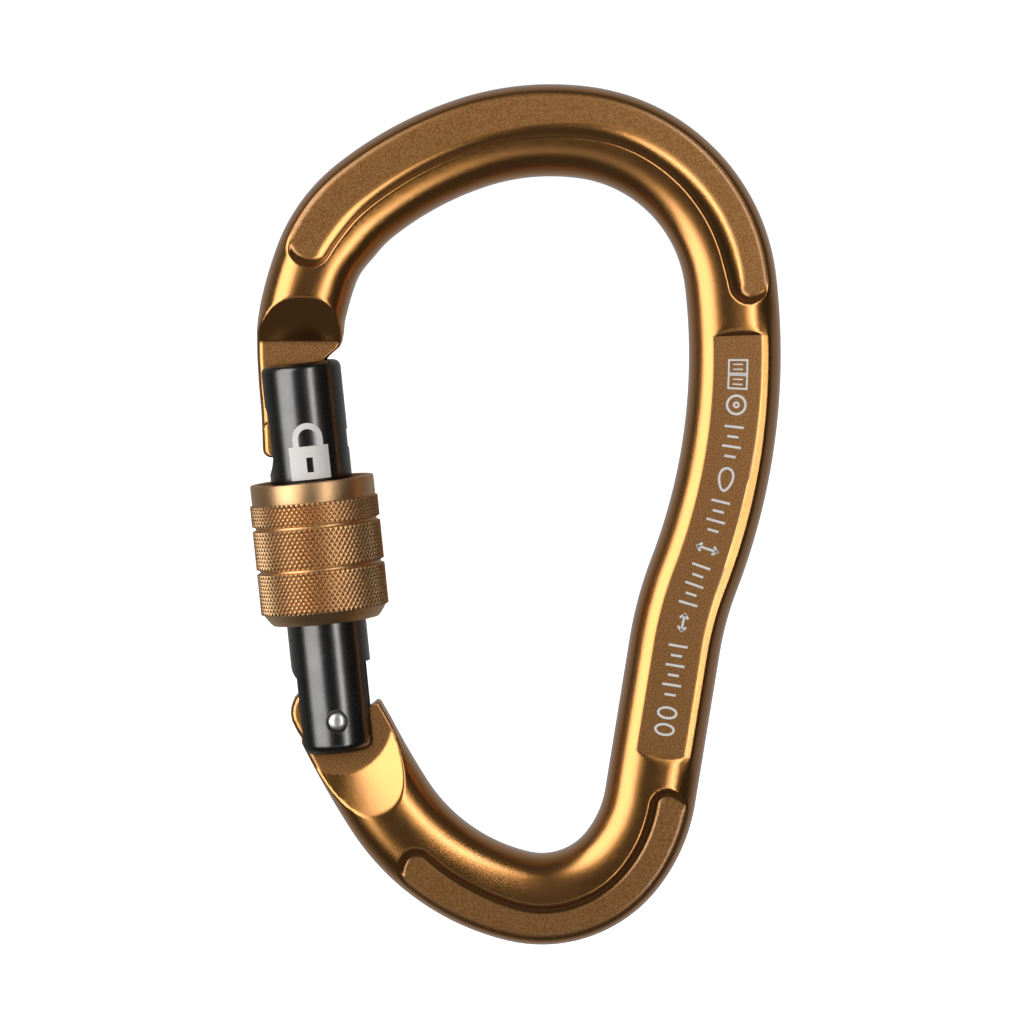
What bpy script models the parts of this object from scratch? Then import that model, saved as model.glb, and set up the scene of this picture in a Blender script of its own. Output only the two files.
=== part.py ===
"""Locking carabiner with a screw sleeve, in metres, +Z up.

The frame of the carabiner lies in the XZ plane and is symmetric about it. The origin is the
inner bearing point of the wide top bow, +X is towards the spine and the gate is at -X.
Each physical piece is one object. Run it in Blender 4.5 to rebuild the model.
"""
import math

import bmesh
import bpy
from mathutils import Matrix, Vector

MM = 0.001

# Frame bar, in millimetres. Its centreline runs both ways from the middle of the top bow.
BAR_WIDTH = 13.0
BAR_THICK = 11.4
BAR_CROWN_OFFSET = 0.7        # the crown lies nearer the outer side than the centreline
BAR_ROUNDNESS = 2.5           # superellipse exponent of the section
# Each stretch is (radius, sweep in degrees). A negative radius bends outwards.
TO_NOSE = [(35.5, 18.3), (49.0, 20.2), (20.0, 31.2), (54.5, 8.0)]
TO_SPINE = [(38.0, 6.9), (24.0, 76.0), (87.0, 28.0), (-51.0, 11.8)]
SPINE_STRAIGHT = 21.8
TO_HINGE = [(20.0, 29.0), (14.5, 65.1), (30.0, 44.3), (121.0, 6.4)]

# Recesses of the frame: half thickness left at the floor, and where they start and end as a
# distance along the centreline from the middle of the top bow, the nose's side negative.
POCKET_HALF = 4.2
TOP_POCKET = (-40.5, 39.9)
BOTTOM_POCKET = (109.3, 155.5)
MARKING_HALF = 5.2
MARKING = (44.2, 104.5)
POCKET_RAMP = 1.5
# Places across the bar where its section has a corner, from the outer side to the loop.
ACROSS = (-6.35, -6.0, -5.5, -5.15, -4.2, -2.8, -1.2, 0.6, 2.2, 3.7, 4.9, 5.7, 6.2, 6.4)
POCKET_FLOOR = (-5.2, -1.1)

# Hinge and gate. The gate's axis leans outwards at the top.
HINGE = Vector((-30.1, -76.9))
HINGE_OFFSET = 0.3            # the rivet sits this far inboard of the gate's axis
GATE_LEAN = 5.8               # degrees from vertical
GATE_DIAMETER = 11.3
GATE_ABOVE = 50.9            # gate end above the rivet
GATE_BELOW = 4.65
GATE_EDGE = 0.9
HINGE_SLOT_WIDTH = 5.6
HINGE_SLOT_TOP = 8.0
RIVET_DIAMETER = 2.8
RIVET_HOLE = 3.0
RIVET_PROUD = 0.15

# Spring and plunger in the gate's bore, heights above the rivet along the gate's axis.
BORE_DIAMETER = 4.6
BORE_TOP = 29.0
PLUNGER_DIAMETER = 3.9
PLUNGER_TIP_RADIUS = 1.0
PLUNGER_TIP = 4.55
PLUNGER_TOP = 13.5
PLUNGER_STEM = 1.0            # radius of the stem inside the spring
PLUNGER_HEAD = 10.5
SPRING_WIRE = 0.5
SPRING_DIAMETER = 3.8
SPRING_TURNS = 9

# Lug of the frame between the gate's cheeks, as radii about the rivet.
LUG_THICK = 5.0
LUG_LOBE = 6.9                # where the lobe at the lug's outer side is widest
LUG_CAM = 3.55                # cam radius under the plunger, at rest
LUG_CAM_RISE = 2.5            # rise per radian, so the plunger's lift follows the gate's angle
LUG_NUB = 6.3
SWING_RADIUS = 7.7            # clearance for the gate's lower end
SCOOP_REACH = 15.2            # where the scoop runs out on the bar

# Nose and its tongue, which the gate's slot closes over.
NOSE_PLATE = 3.4
NOSE_EDGE_Z = -23.4           # lower edge of the nose scoop
NOSE_SCOOP_TOP = -16.9
TONGUE_SLOT = 4.0
TONGUE_SLOT_BOTTOM = 37.4     # above the rivet
HEAD_THICK = 5.2
HEAD_LENGTH = 2.6
TONGUE_TIP = Vector((-39.5, -38.5))   # centre of the rounded tip
TONGUE_TIP_RADIUS = 1.25
HEAD_SLOT = 5.9
HEAD_SLOT_SPAN = (35.4, 45.9) # above the rivet
HEAD_SLOT_FLOOR = 2.2         # outwards from the gate's axis

# Locking sleeve, heights from its lower end.
SLEEVE_BOTTOM = 14.0          # above the rivet when unlocked
SLEEVE_LENGTH = 20.2
SLEEVE_RADIUS = 9.1
SLEEVE_RIM_RADIUS = 8.8
SLEEVE_GROOVE_RADIUS = 8.75
SLEEVE_LOWER_RADIUS = 7.7
SLEEVE_BORE = 5.95
SLEEVE_COUNTERBORE = 7.9
SLEEVE_COUNTERBORE_DEPTH = 8.6
SLEEVE_BANDS = [(1.7, 7.6), (8.1, 13.7), (14.2, 17.3)]

GATE_AXIS = Vector((-math.sin(math.radians(GATE_LEAN)), math.cos(math.radians(GATE_LEAN))))
GATE_SIDE = Vector((GATE_AXIS.y, -GATE_AXIS.x))   # towards the loop


def clear_scene():
    """Removes what a new file holds, so that only the carabiner is left."""
    for item in list(bpy.data.objects):
        bpy.data.objects.remove(item, do_unlink=True)


def new_collection(name):
    """Adds an empty collection to the scene."""
    collection = bpy.data.collections.new(name)
    bpy.context.scene.collection.children.link(collection)
    return collection


clear_scene()
PARTS = new_collection("locking_carabiner")
CUTTERS = new_collection("cutters")


def finish(name, color, metallic, roughness):
    """A plain Principled material."""
    material = bpy.data.materials.new(name)
    material.use_nodes = True
    shader = material.node_tree.nodes["Principled BSDF"]
    shader.inputs["Base Color"].default_value = (*color, 1.0)
    shader.inputs["Metallic"].default_value = metallic
    shader.inputs["Roughness"].default_value = roughness
    return material


def link(obj, collection=CUTTERS):
    """Puts an object in its collection, a cutter hidden from renders."""
    collection.objects.link(obj)
    if collection is CUTTERS:
        obj.hide_render = True
        obj.display_type = "WIRE"
    return obj


# Centreline of the bar


def bend(start, heading, radius, sweep, side, step=6.0):
    """Points along an arc after its start, with the point and heading at its end.

    side is +1 where the arc turns left and -1 where it turns right.
    """
    turn = math.copysign(math.radians(sweep), radius) * side
    count = max(1, math.ceil(abs(math.degrees(turn)) / step))
    count = max(count, math.ceil(abs(radius * turn) / 4.0))
    left = Vector((-math.sin(heading), math.cos(heading))) * side * radius
    centre = start + left
    spoke = start - centre
    points = []
    for i in range(1, count + 1):
        angle = turn * i / count
        points.append(centre + Matrix.Rotation(angle, 2) @ spoke)
    return points, heading + turn


def run(start, heading, arcs, side, straight=0.0, then=()):
    """Points along arcs, an optional straight and further arcs."""
    points = []
    place = start
    for radius, sweep in arcs:
        bent, heading = bend(place, heading, radius, sweep, side)
        points += bent
        place = points[-1]
    if straight:
        along = Vector((math.cos(heading), math.sin(heading)))
        steps = math.ceil(straight / 4.0)
        points += [place + along * straight * i / steps for i in range(1, steps + 1)]
        place = points[-1]
    for radius, sweep in then:
        bent, heading = bend(place, heading, radius, sweep, side)
        points += bent
        place = points[-1]
    return points


def centreline():
    """The bar's centreline from the nose to the hinge, as (x, z) in millimetres."""
    top = Vector((0.0, BAR_WIDTH / 2))
    to_nose = run(top, math.pi, TO_NOSE, 1)
    to_hinge = run(top, 0.0, TO_SPINE, -1, SPINE_STRAIGHT, TO_HINGE)
    return to_nose[::-1] + [top] + to_hinge


LINE = centreline()
TOP_RUN = sum(radius * math.radians(sweep) for radius, sweep in TO_NOSE)


def lengths(points):
    """Distance along a row of points, at each point."""
    total = [0.0]
    for a, b in zip(points, points[1:]):
        total.append(total[-1] + (b - a).length)
    return total


def place_on_line(distance):
    """The centreline's point and direction at a distance from the top bow's middle."""
    for i in range(1, len(LINE)):
        if RUN[i] >= distance or i == len(LINE) - 1:
            share = (distance - RUN[i - 1]) / (RUN[i] - RUN[i - 1])
            return LINE[i - 1].lerp(LINE[i], share), heading_at(i - 1).lerp(heading_at(i), share)


def heading_at(i):
    """The direction of the centreline at one of its points."""
    before = LINE[max(i - 1, 0)]
    after = LINE[min(i + 1, len(LINE) - 1)]
    return (after - before).normalized()


RUN = [s - TOP_RUN for s in lengths(LINE)]


# Shapes


def curve_object(name, rows, dimensions="2D", collection=CUTTERS, closed=True):
    """A curve of straight-edged splines, drawn in its own XY plane."""
    data = bpy.data.curves.new(name, "CURVE")
    data.dimensions = dimensions
    for row in rows:
        spline = data.splines.new("POLY")
        spline.points.add(len(row) - 1)
        for point, place in zip(spline.points, row):
            point.co = (*[c * MM for c in place], *[0.0] * (3 - len(place)), 1.0)
        spline.use_cyclic_u = closed
    return link(bpy.data.objects.new(name, data), collection)


def stand_up(obj, depth_mm=0.0):
    """Turns a drawing in XY so that it stands in XZ, its middle at the given Y."""
    obj.rotation_euler = (math.pi / 2, 0.0, 0.0)
    obj.location = (0.0, depth_mm * MM, 0.0)
    return obj


def as_mesh(obj, name, collection=CUTTERS):
    """The evaluated curve as a mesh object with its caps welded."""
    bpy.context.view_layer.update()
    source = obj.evaluated_get(bpy.context.evaluated_depsgraph_get())
    mesh = bpy.data.meshes.new_from_object(source)
    builder = bmesh.new()
    builder.from_mesh(mesh)
    bmesh.ops.remove_doubles(builder, verts=builder.verts, dist=0.000002)
    bmesh.ops.recalc_face_normals(builder, faces=builder.faces)
    builder.to_mesh(mesh)
    builder.free()
    solid = bpy.data.objects.new(name, mesh)
    solid.matrix_world = obj.matrix_world.copy()
    bpy.data.objects.remove(obj, do_unlink=True)
    return link(solid, collection)


def plate(name, outline, y_low, y_high, collection=CUTTERS):
    """A flat plate in the XZ plane between two Y values, from its outline."""
    drawing = curve_object(name + "_outline", [outline])
    drawing.data.fill_mode = "BOTH"
    drawing.data.extrude = (y_high - y_low) / 2 * MM
    stand_up(drawing, (y_high + y_low) / 2)
    return as_mesh(drawing, name, collection)


def cylinder(name, radius, bottom, top, sides, collection=CUTTERS, radius_top=None):
    """A cylinder or cone along its own Z, in millimetres."""
    mesh = bpy.data.meshes.new(name)
    builder = bmesh.new()
    bmesh.ops.create_cone(
        builder, cap_ends=True, segments=sides, radius1=radius * MM,
        radius2=(radius if radius_top is None else radius_top) * MM,
        depth=(top - bottom) * MM,
    )
    bmesh.ops.translate(builder, verts=builder.verts, vec=(0, 0, (top + bottom) / 2 * MM))
    builder.to_mesh(mesh)
    builder.free()
    return link(bpy.data.objects.new(name, mesh), collection)


def box(name, low, high):
    """A box cutter between two corners, in its own frame."""
    mesh = bpy.data.meshes.new(name)
    builder = bmesh.new()
    bmesh.ops.create_cube(builder, size=1.0)
    size = Vector(high) - Vector(low)
    middle = (Vector(high) + Vector(low)) / 2
    bmesh.ops.scale(builder, verts=builder.verts, vec=size * MM)
    bmesh.ops.translate(builder, verts=builder.verts, vec=middle * MM)
    builder.to_mesh(mesh)
    builder.free()
    return link(bpy.data.objects.new(name, mesh))


def turned(name, profile, sides, collection=CUTTERS):
    """A closed profile of (radius, height), outer side running down, turned about Z."""
    mesh = bpy.data.meshes.new(name)
    points = [(r * MM, 0.0, z * MM) for r, z in profile]
    edges = [(i, (i + 1) % len(points)) for i in range(len(points))]
    if profile[0][0] == 0:
        edges.pop()
    mesh.from_pydata(points, edges, [])
    obj = link(bpy.data.objects.new(name, mesh), collection)
    screw = obj.modifiers.new("turn", "SCREW")
    screw.steps = sides
    screw.render_steps = sides
    screw.use_merge_vertices = True
    screw.merge_threshold = 0.000001
    return obj


def boolean(obj, other, operation):
    """Adds an exact Boolean with another object."""
    cut = obj.modifiers.new(other.name, "BOOLEAN")
    cut.operation = operation
    cut.object = other


def on_gate(obj):
    """Places an object so that its Z runs up the gate's axis from the rivet's level."""
    foot = HINGE - GATE_SIDE * HINGE_OFFSET
    lean = Matrix.Rotation(-math.radians(GATE_LEAN), 4, "Y")
    obj.matrix_world = Matrix.Translation((foot.x * MM, 0.0, foot.y * MM)) @ lean
    return obj


def on_rivet(obj, side=1):
    """Places an object so that its Z runs along the rivet, towards -Y or +Y."""
    turn = Matrix.Rotation(side * math.pi / 2, 4, "X")
    obj.matrix_world = Matrix.Translation((HINGE.x * MM, 0.0, HINGE.y * MM)) @ turn
    return obj


def paint(obj, material, angle=35.0):
    """Gives an object its material and smooth shading with sharp edges kept."""
    if obj.type == "MESH":
        obj.data.materials.clear()
        obj.data.materials.append(material)
        obj.data.shade_smooth()
        obj.data.set_sharp_from_angle(angle=math.radians(angle))
    else:
        obj.data.materials.append(material)
    return obj


# Frame


def full_half(across):
    """Half thickness of the plain bar at a place across it, a skewed superellipse."""
    from_crown = across + BAR_CROWN_OFFSET
    reach = BAR_WIDTH / 2 + math.copysign(BAR_CROWN_OFFSET, from_crown)
    share = min(1.0, abs(from_crown / reach))
    return BAR_THICK / 2 * (1 - share ** BAR_ROUNDNESS) ** (1 / BAR_ROUNDNESS)


def half_thickness(distance, across):
    """Half thickness of the frame with its recesses."""
    half = full_half(across)
    if MARKING[0] <= distance <= MARKING[1]:
        half = min(half, MARKING_HALF)
    for start, end in (TOP_POCKET, BOTTOM_POCKET):
        inside = min(distance - start, end - distance)
        if inside > 0 and POCKET_FLOOR[0] <= across <= POCKET_FLOOR[1]:
            share = min(1.0, inside / POCKET_RAMP)
            half = min(half, half + (POCKET_HALF - half) * share)
    return half


def stations():
    """Distances along the bar where a section is drawn, with the recesses' ends."""
    marks = list(RUN)
    step = 0.02
    for start, end in (TOP_POCKET, BOTTOM_POCKET):
        marks += [start, start + POCKET_RAMP, end - POCKET_RAMP, end]
    marks += [MARKING[0] - step, MARKING[0], MARKING[1], MARKING[1] + step]
    marks.sort()
    spaced = []
    fixed = set(marks) - set(RUN)
    for mark in marks:
        near = [m for m in fixed if m != mark and abs(m - mark) < 0.8]
        if mark in fixed or not near:
            spaced.append(mark)
    return spaced


def ring(distance):
    """The bar's section at one station as points in space."""
    place, heading = place_on_line(distance)
    outwards = Vector((-heading.y, heading.x)).normalized()
    half = BAR_WIDTH / 2
    front = [(-half, 0.0)] + [(a, -half_thickness(distance, a)) for a in ACROSS]
    back = [(half, 0.0)] + [(a, half_thickness(distance, a)) for a in reversed(ACROSS)]
    points = []
    for across, deep in front + back:
        flat = place - outwards * across
        points.append(Vector((flat.x, deep, flat.y)) * MM)
    return points


def bar():
    """The bent bar as one loft, because its section changes where it is recessed."""
    builder = bmesh.new()
    rings = [[builder.verts.new(p) for p in ring(mark)] for mark in stations()]
    count = len(rings[0])
    for first, second in zip(rings, rings[1:]):
        for i in range(count):
            j = (i + 1) % count
            builder.faces.new((first[i], first[j], second[j], second[i]))
    builder.faces.new(rings[0][::-1])
    builder.faces.new(rings[-1])
    bmesh.ops.recalc_face_normals(builder, faces=builder.faces)
    mesh = bpy.data.meshes.new("body")
    builder.to_mesh(mesh)
    builder.free()
    return link(bpy.data.objects.new("body", mesh), PARTS)


def around_hinge(radius, degrees):
    """A point about the rivet, the angle from the gate's axis towards the loop."""
    angle = math.radians(degrees)
    return HINGE + (GATE_AXIS * math.cos(angle) + GATE_SIDE * math.sin(angle)) * radius


def lug_outline():
    """The lug: a round outer lobe, the plunger's cam and a nub on the loop's side."""
    outline = [around_hinge(LUG_LOBE - drop, a) for drop, a in [
        (0.3, -87), (0.1, -79), (0.0, -71), (0.0, -64), (0.0, -58), (0.15, -53), (0.5, -48),
    ]]
    outline += [around_hinge(LUG_LOBE - 1.2, -42), around_hinge(LUG_CAM + 1.2, -32)]
    outline += [
        around_hinge(LUG_CAM + LUG_CAM_RISE * math.radians(a), a) for a in range(-20, 41, 5)
    ]
    outline += [around_hinge(LUG_NUB - 1.7, 58), around_hinge(LUG_NUB - 1.8, 78)]
    outline += [around_hinge(LUG_NUB, 71), around_hinge(LUG_NUB + 0.25, 73)]
    outline += [around_hinge(LUG_NUB - 0.3, 83), around_hinge(4.0, 95), around_hinge(4.0, 180)]
    outline += [around_hinge(5.75, -123), around_hinge(6.15, -101)]
    return outline


def tongue_outline():
    """The nose's tongue: down the outer side of the gate to a rounded tip."""
    outline = [Vector(p) for p in [
        (-36.0, -14.0), (-38.6, -16.5), (-40.9, -18.7), (-41.35, -21.7), (-41.47, -25.5),
        (-41.2, -30.0), (-40.85, -34.3),
    ]]
    outline += [
        TONGUE_TIP + Vector((math.cos(a), math.sin(a))) * TONGUE_TIP_RADIUS
        for a in [math.radians(d) for d in range(190, 380, 19)]
    ]
    outline += [along_gate(-3.4, 44.0), along_gate(-1.2, 47.6)]
    outline += [Vector(p) for p in [
        (-31.6, -25.9), (-29.9, -23.8), (-29.2, -22.3), (-28.5, -20.8), (-31.2, -17.5),
    ]]
    return outline


def along_gate(side, height):
    """A point beside the gate's axis, at a height above the rivet."""
    return HINGE + GATE_SIDE * (side - HINGE_OFFSET) + GATE_AXIS * height


def tongue_head():
    """The thicker end of the tongue, which fills the gate's keyhole."""
    radius = TONGUE_TIP_RADIUS - 0.05
    outline = []
    for degrees in range(0, 360, 18):
        across = math.cos(math.radians(degrees)) * radius
        up = math.sin(math.radians(degrees)) * radius
        outline.append(TONGUE_TIP + Vector((across, up + (HEAD_LENGTH if up > 0.1 else 0.0))))
    return plate("tongue_head", outline, -HEAD_THICK / 2, HEAD_THICK / 2)


def nose_scoop(side):
    """Thins the nose below a sloping plane, down to the tongue's plate."""
    rise = NOSE_SCOOP_TOP - NOSE_EDGE_Z
    slope = (BAR_THICK - NOSE_PLATE) / 2
    outline = [
        (side * NOSE_PLATE / 2, NOSE_EDGE_Z - 30), (side * NOSE_PLATE / 2, NOSE_EDGE_Z),
        (side * (NOSE_PLATE / 2 + 1.3 * slope), NOSE_EDGE_Z + 1.3 * rise),
        (side * BAR_THICK, NOSE_EDGE_Z + 1.3 * rise), (side * BAR_THICK, NOSE_EDGE_Z - 30),
    ]
    drawing = curve_object("nose_scoop_outline", [outline])
    drawing.data.fill_mode = "BOTH"
    drawing.data.extrude = 12 * MM
    drawing.matrix_world = (
        Matrix.Translation((-34 * MM, 0, 0))
        @ Matrix.Rotation(math.pi / 2, 4, "Z") @ Matrix.Rotation(math.pi / 2, 4, "X")
    )
    return as_mesh(drawing, "nose_scoop")


def hinge_scoop(side):
    """Thins the bar around the rivet to the lug, with a cone that runs out on the bar."""
    depth = BAR_THICK / 2 + 0.3
    scoop = cylinder(
        "hinge_scoop", SWING_RADIUS, LUG_THICK / 2, depth, 64, radius_top=SCOOP_REACH
    )
    return on_rivet(scoop, side)


def main_frame(material):
    """The forged frame with its recesses, nose and hinge lug."""
    body = bar()
    boolean(body, plate("tongue", tongue_outline(), -5.0, 5.0), "UNION")
    boolean(body, plate("lug", lug_outline(), -4.4, 4.4), "UNION")
    for side in (-1, 1):
        boolean(body, nose_scoop(side), "DIFFERENCE")
        boolean(body, hinge_scoop(side), "DIFFERENCE")
    boolean(body, tongue_head(), "UNION")
    hole = on_rivet(cylinder("lug_hole", RIVET_HOLE / 2, -8, 8, 32))
    boolean(body, hole, "DIFFERENCE")
    return paint(body, material)


def keyhole():
    """The round-ended opening in the gate's outer side, for the tongue's head."""
    radius = HEAD_SLOT / 2
    low, high = HEAD_SLOT_SPAN
    outline = []
    for degrees in range(0, 360, 20):
        across = math.cos(math.radians(degrees)) * radius
        up = math.sin(math.radians(degrees)) * radius
        outline.append((across, up + (high - radius if up > 0 else low + radius)))
    drawing = curve_object("keyhole_outline", [outline])
    drawing.data.fill_mode = "BOTH"
    drawing.data.extrude = GATE_DIAMETER / 2 * MM
    on_gate(drawing)
    drawing.matrix_world = (
        drawing.matrix_world
        @ Matrix.Translation((-(HEAD_SLOT_FLOOR + GATE_DIAMETER / 2) * MM, 0, 0))
        @ Matrix.Rotation(math.pi / 2, 4, "Z") @ Matrix.Rotation(math.pi / 2, 4, "X")
    )
    return as_mesh(drawing, "keyhole")


def gate(material):
    """The gate: a round bar slotted for the lug and the tongue, bored for the spring."""
    radius = GATE_DIAMETER / 2
    profile = [(0, GATE_ABOVE)]
    for i in range(5):
        angle = math.radians(90 - 22.5 * i)
        profile.append((
            radius - GATE_EDGE + GATE_EDGE * math.cos(angle),
            GATE_ABOVE - GATE_EDGE + GATE_EDGE * math.sin(angle),
        ))
    for i in range(5):
        angle = math.radians(-22.5 * i)
        profile.append((
            radius - GATE_EDGE + GATE_EDGE * math.cos(angle),
            -GATE_BELOW + GATE_EDGE + GATE_EDGE * math.sin(angle),
        ))
    profile.append((0, -GATE_BELOW))
    solid = on_gate(turned("gate", profile, 48, PARTS))
    reach = GATE_DIAMETER
    slot = HINGE_SLOT_WIDTH / 2
    cuts = [
        box("hinge_slot", (-reach, -slot, -reach), (reach, slot, HINGE_SLOT_TOP)),
        cylinder("spring_bore", BORE_DIAMETER / 2, HINGE_SLOT_TOP - 1, BORE_TOP, 32),
        box("tongue_slot", (-reach, -TONGUE_SLOT / 2, TONGUE_SLOT_BOTTOM),
            (reach, TONGUE_SLOT / 2, GATE_ABOVE + 1)),
    ]
    for cut in cuts:
        boolean(solid, on_gate(cut), "DIFFERENCE")
    boolean(solid, keyhole(), "DIFFERENCE")
    hole = on_rivet(cylinder("gate_rivet_hole", RIVET_HOLE / 2, -8, 8, 32))
    boolean(solid, hole, "DIFFERENCE")
    return paint(solid, material)


def locking_sleeve(material):
    """The knurled sleeve, threaded low down and counterbored for the tongue at its top."""
    profile = [
        (SLEEVE_COUNTERBORE, SLEEVE_LENGTH), (SLEEVE_RIM_RADIUS - 0.15, SLEEVE_LENGTH),
        (SLEEVE_RIM_RADIUS, SLEEVE_LENGTH - 0.15),
    ]
    for low, high in reversed(SLEEVE_BANDS):
        level = SLEEVE_RIM_RADIUS if high == SLEEVE_BANDS[-1][1] else SLEEVE_GROOVE_RADIUS
        profile += [(level, high + 0.05), (SLEEVE_RADIUS, high - 0.15)]
        level = SLEEVE_RADIUS if low == SLEEVE_BANDS[0][0] else SLEEVE_GROOVE_RADIUS
        profile += [(SLEEVE_RADIUS, low + 0.15), (level, low - 0.05)]
    profile += [
        (SLEEVE_LOWER_RADIUS + 0.4, 0.35), (SLEEVE_LOWER_RADIUS, 0.0),
        (SLEEVE_BORE, 0.0), (SLEEVE_BORE, SLEEVE_LENGTH - SLEEVE_COUNTERBORE_DEPTH - 0.6),
        (SLEEVE_COUNTERBORE, SLEEVE_LENGTH - SLEEVE_COUNTERBORE_DEPTH),
    ]
    solid = on_gate(turned("locking_sleeve", profile, 64, PARTS))
    solid.matrix_world = solid.matrix_world @ Matrix.Translation((0, 0, SLEEVE_BOTTOM * MM))
    return paint(solid, material)


def hinge_rivet(material):
    """The rivet through the gate's cheeks and the lug, its ends slightly domed."""
    half = GATE_DIAMETER / 2 + RIVET_PROUD
    radius = RIVET_DIAMETER / 2
    profile = [(0, half), (radius * 0.55, half - 0.06), (radius * 0.9, half - 0.25)]
    profile += [(radius, half - 0.5), (radius, -half + 0.5), (radius * 0.9, -half + 0.25)]
    profile += [(radius * 0.55, -half + 0.06), (0, -half)]
    return paint(on_rivet(turned("hinge_rivet", profile, 32, PARTS)), material)


def spring_plunger(material):
    """The follower: a round tip on the lug's cam, a head that guides it and a stem."""
    radius = PLUNGER_DIAMETER / 2
    tip = PLUNGER_TIP_RADIUS
    profile = [(0, PLUNGER_TOP), (PLUNGER_STEM, PLUNGER_TOP), (PLUNGER_STEM, PLUNGER_HEAD)]
    profile += [(radius, PLUNGER_HEAD), (radius, HINGE_SLOT_TOP + 0.4)]
    profile += [(tip, HINGE_SLOT_TOP - 1.2), (tip, PLUNGER_TIP + tip)]
    profile += [
        (tip * math.cos(math.radians(a)), PLUNGER_TIP + tip - tip * math.sin(math.radians(a)))
        for a in (22.5, 45, 67.5)
    ]
    profile.append((0, PLUNGER_TIP))
    return paint(on_gate(turned("spring_plunger", profile, 24, PARTS)), material)


def gate_spring(material):
    """The compression spring between the plunger's head and the end of the bore."""
    low = PLUNGER_HEAD + 0.3 + SPRING_WIRE / 2
    high = BORE_TOP - 0.3 - SPRING_WIRE / 2
    radius = (SPRING_DIAMETER - SPRING_WIRE) / 2
    per_turn = 14
    count = SPRING_TURNS * per_turn
    row = []
    for i in range(count + 1):
        share = i / count
        angle = 2 * math.pi * i / per_turn
        row.append((radius * math.cos(angle), radius * math.sin(angle), low + (high - low) * share))
    wire = curve_object("gate_spring", [row], "3D", PARTS, closed=False)
    wire.data.bevel_depth = SPRING_WIRE / 2 * MM
    wire.data.bevel_resolution = 2
    wire.data.use_fill_caps = True
    return paint(on_gate(wire), material)


BRONZE = finish("bronze_anodised", (0.40, 0.20, 0.07), 1.0, 0.35)
BLACK = finish("black_anodised", (0.012, 0.012, 0.014), 0.6, 0.3)
STEEL = finish("rivet_steel", (0.75, 0.74, 0.72), 1.0, 0.25)
SPRING_STEEL = finish("spring_steel", (0.55, 0.55, 0.56), 1.0, 0.3)
PLUNGER_STEEL = finish("plunger_steel", (0.6, 0.6, 0.6), 1.0, 0.35)

main_frame(BRONZE)
gate(BLACK)
locking_sleeve(BRONZE)
hinge_rivet(STEEL)
spring_plunger(PLUNGER_STEEL)
gate_spring(SPRING_STEEL)
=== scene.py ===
"""Looks of the locking carabiner: fine meshes, materials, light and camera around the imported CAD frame."""
import math

import bmesh
import bpy
import numpy as np
from mathutils import Matrix, Vector


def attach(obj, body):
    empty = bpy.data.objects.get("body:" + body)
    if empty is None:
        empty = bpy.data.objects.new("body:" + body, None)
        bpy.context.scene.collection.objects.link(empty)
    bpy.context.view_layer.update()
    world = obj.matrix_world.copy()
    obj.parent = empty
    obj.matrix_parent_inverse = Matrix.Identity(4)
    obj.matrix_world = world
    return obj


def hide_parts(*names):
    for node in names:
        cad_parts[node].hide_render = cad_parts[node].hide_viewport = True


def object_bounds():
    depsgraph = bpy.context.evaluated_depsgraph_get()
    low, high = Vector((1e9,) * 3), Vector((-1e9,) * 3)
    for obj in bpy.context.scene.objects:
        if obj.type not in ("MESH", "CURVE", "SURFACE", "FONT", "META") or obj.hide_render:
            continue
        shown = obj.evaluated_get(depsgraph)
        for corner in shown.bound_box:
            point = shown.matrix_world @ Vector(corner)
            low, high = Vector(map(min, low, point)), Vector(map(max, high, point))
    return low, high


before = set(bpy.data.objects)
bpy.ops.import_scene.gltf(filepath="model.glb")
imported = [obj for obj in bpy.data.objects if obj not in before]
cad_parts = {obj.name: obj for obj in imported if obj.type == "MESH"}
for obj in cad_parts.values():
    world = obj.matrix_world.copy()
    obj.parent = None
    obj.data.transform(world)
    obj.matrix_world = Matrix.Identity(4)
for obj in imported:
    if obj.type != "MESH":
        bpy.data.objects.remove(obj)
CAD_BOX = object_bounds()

MM = 0.001

# ---------------------------------------------------------------- sizes, in millimetres

BAR_HALF_WIDTH = 6.5          # of the frame's bar, seen from the front
BAR_HALF = 5.7                # half thickness at the crown
CROWN = 0.7                   # the crown lies this far towards the outer side
ROUNDNESS = 2.5               # exponent of the bar's superellipse section
# arcs from the top's middle, as radius and sweep; radius 0 is a straight of that length
TO_NOSE = [(35.5, 18.3), (49.0, 20.2), (20.0, 31.2), (54.5, 8.0)]
TO_HINGE = [
    (38.0, 6.9), (24.0, 76.0), (87.0, 28.0), (-51.0, 11.8), (0.0, 21.8),
    (20.0, 29.0), (14.5, 65.1), (30.0, 44.3), (121.0, 6.4),
]
LUG_RUN = 5.0                 # the bar ends this far before the end of those arcs

POCKET_HALF = 4.2             # half thickness at a pocket's floor
POCKET_GRAIN = 0.9            # how machined a pocket's floor looks
POCKETS = ((-40.5, 39.9), (109.3, 154.9))     # where each starts and ends along the bar
# along the bar: place, across-bar place of the cove's bead, and the cove's width
COVES = (
    (-40.5, 1.35, 2.1), (-7.0, 1.25, 2.05), (1.5, 1.1, 2.4), (10.0, 0.8, 2.8),
    (34.0, 0.8, 2.8), (39.9, 0.2, 2.0), (109.3, 0.2, 1.6), (118.0, -0.05, 1.6),
    (135.0, -0.3, 1.5), (145.0, 0.1, 1.5), (154.9, 0.3, 1.5),
)
COVE_BASE = 0.3               # share of the cove's rise that is straight; the rest steepens
COVE_BEYOND = 0.8             # slope of the cove's surface past its bead
END_COVE = 1.3                # width of the cove at a pocket's ends
POCKET_CORNER = 2.6           # radius of the ends on the loop's side
OUTER_CORNER = 5.0            # and on the outer side
OUTER_MARGIN = 0.5            # those corners start this far beyond the silhouette
MARKING_HALF = 5.2            # half thickness at the flat that holds the marks
MARKING = (44.2, 104.5)       # where that flat starts and ends along the bar
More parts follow.
